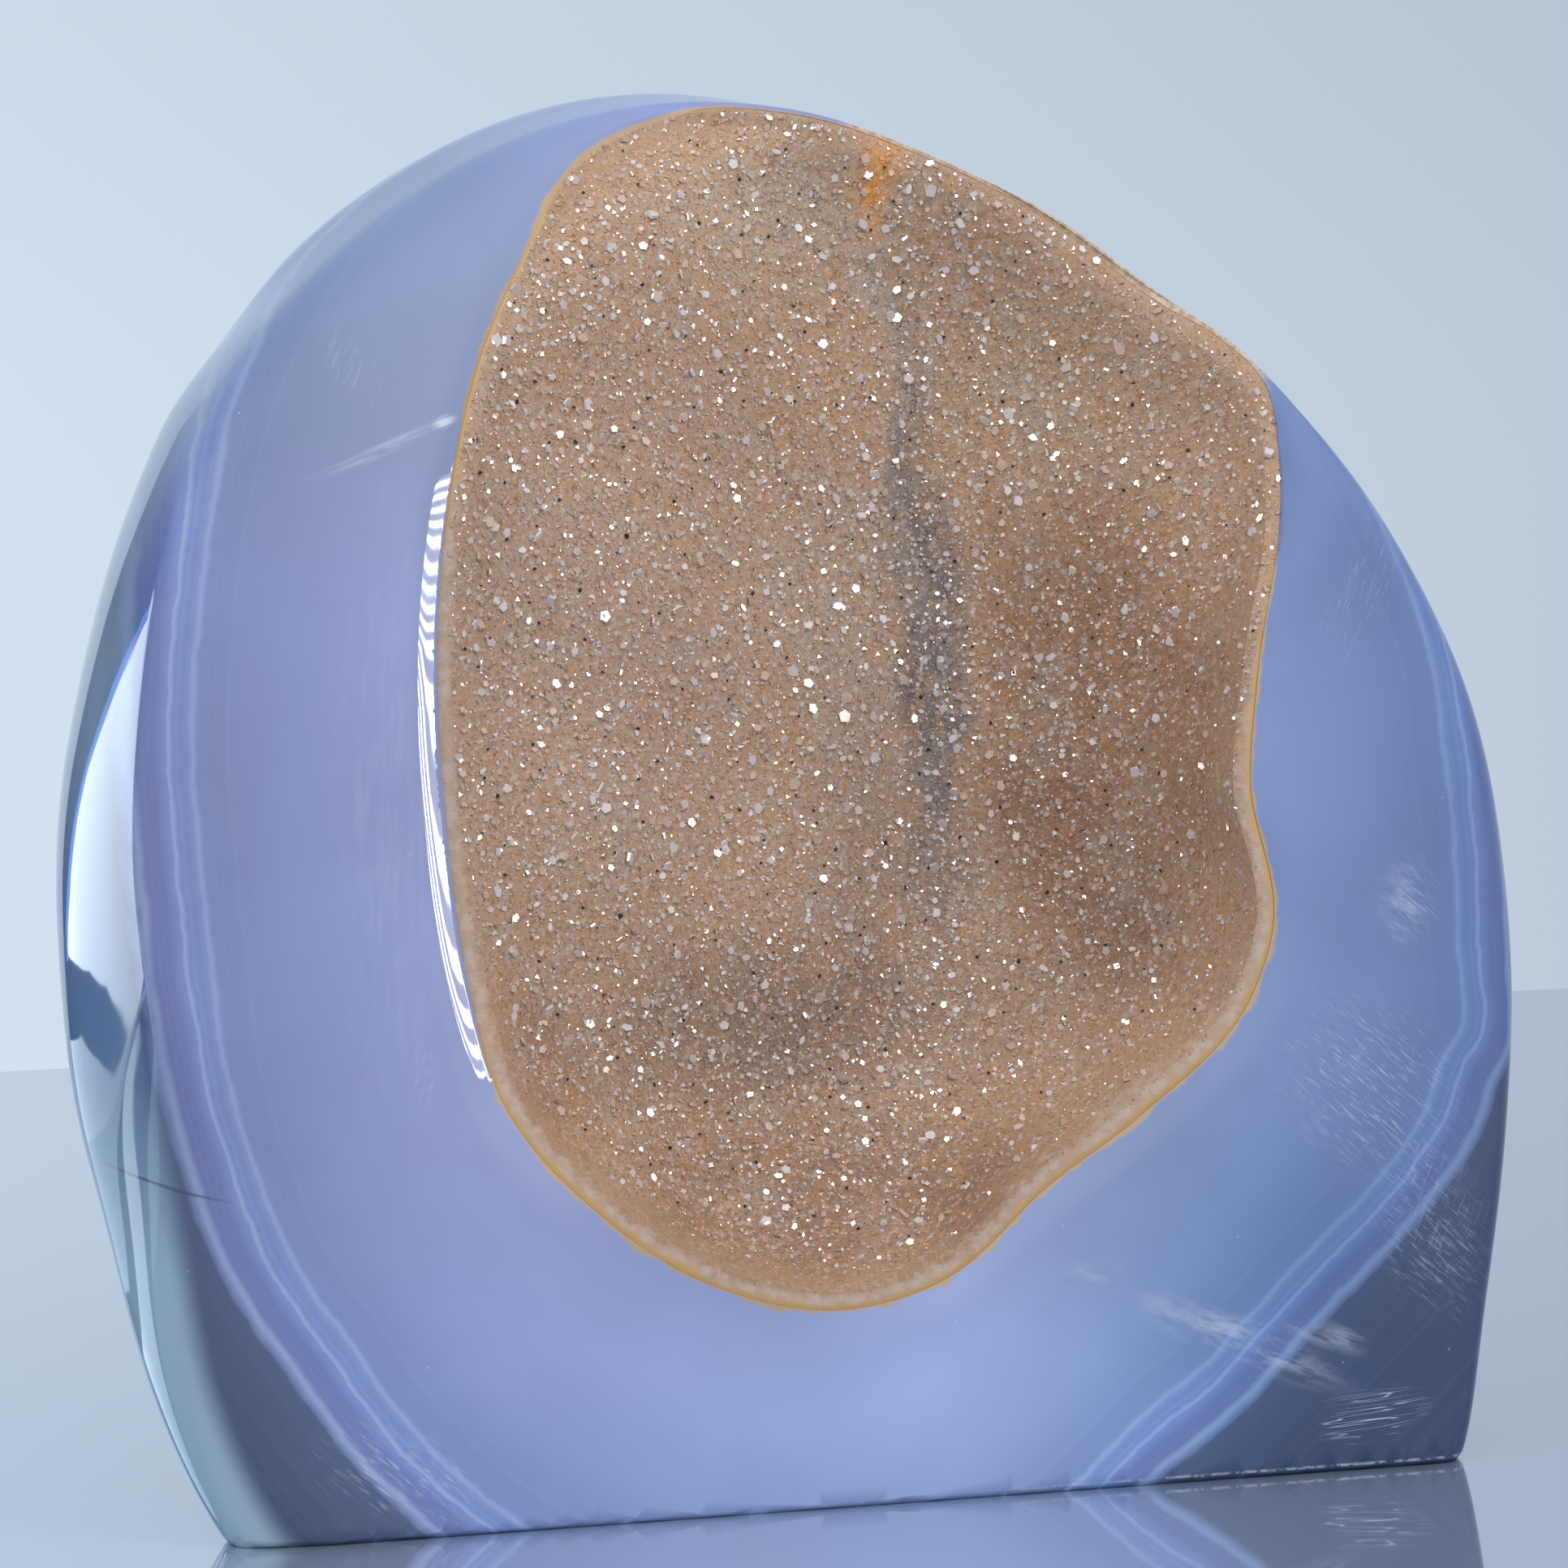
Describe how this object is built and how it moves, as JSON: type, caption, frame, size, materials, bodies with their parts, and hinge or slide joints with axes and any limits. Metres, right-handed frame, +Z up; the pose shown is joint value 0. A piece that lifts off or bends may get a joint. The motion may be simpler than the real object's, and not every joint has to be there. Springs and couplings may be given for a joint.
{
  "type": "druzy agate freeform",
  "caption": "Polished blue chalcedony freeform that stands on a flat cut base, with a deep crystal-lined hollow open to the front and over the top edge.",
  "frame": {"origin": "middle of the stone's box, on the plane of its flat cut base", "axes": "+Z up from the base, -Y out of the polished front and its hollow, +X to the front's right-hand side"},
  "size_m": [0.0874, 0.0392, 0.0841],
  "materials": {
    "chalcedony": "polished, glassy, slightly translucent",
    "quartz_druse": "sparkling small crystals with bright flat faces"
  },
  "bodies": {
    "root": {"agate_stone": "chalcedony", "druse_crust": "quartz_druse"}
  },
  "joints": []
}
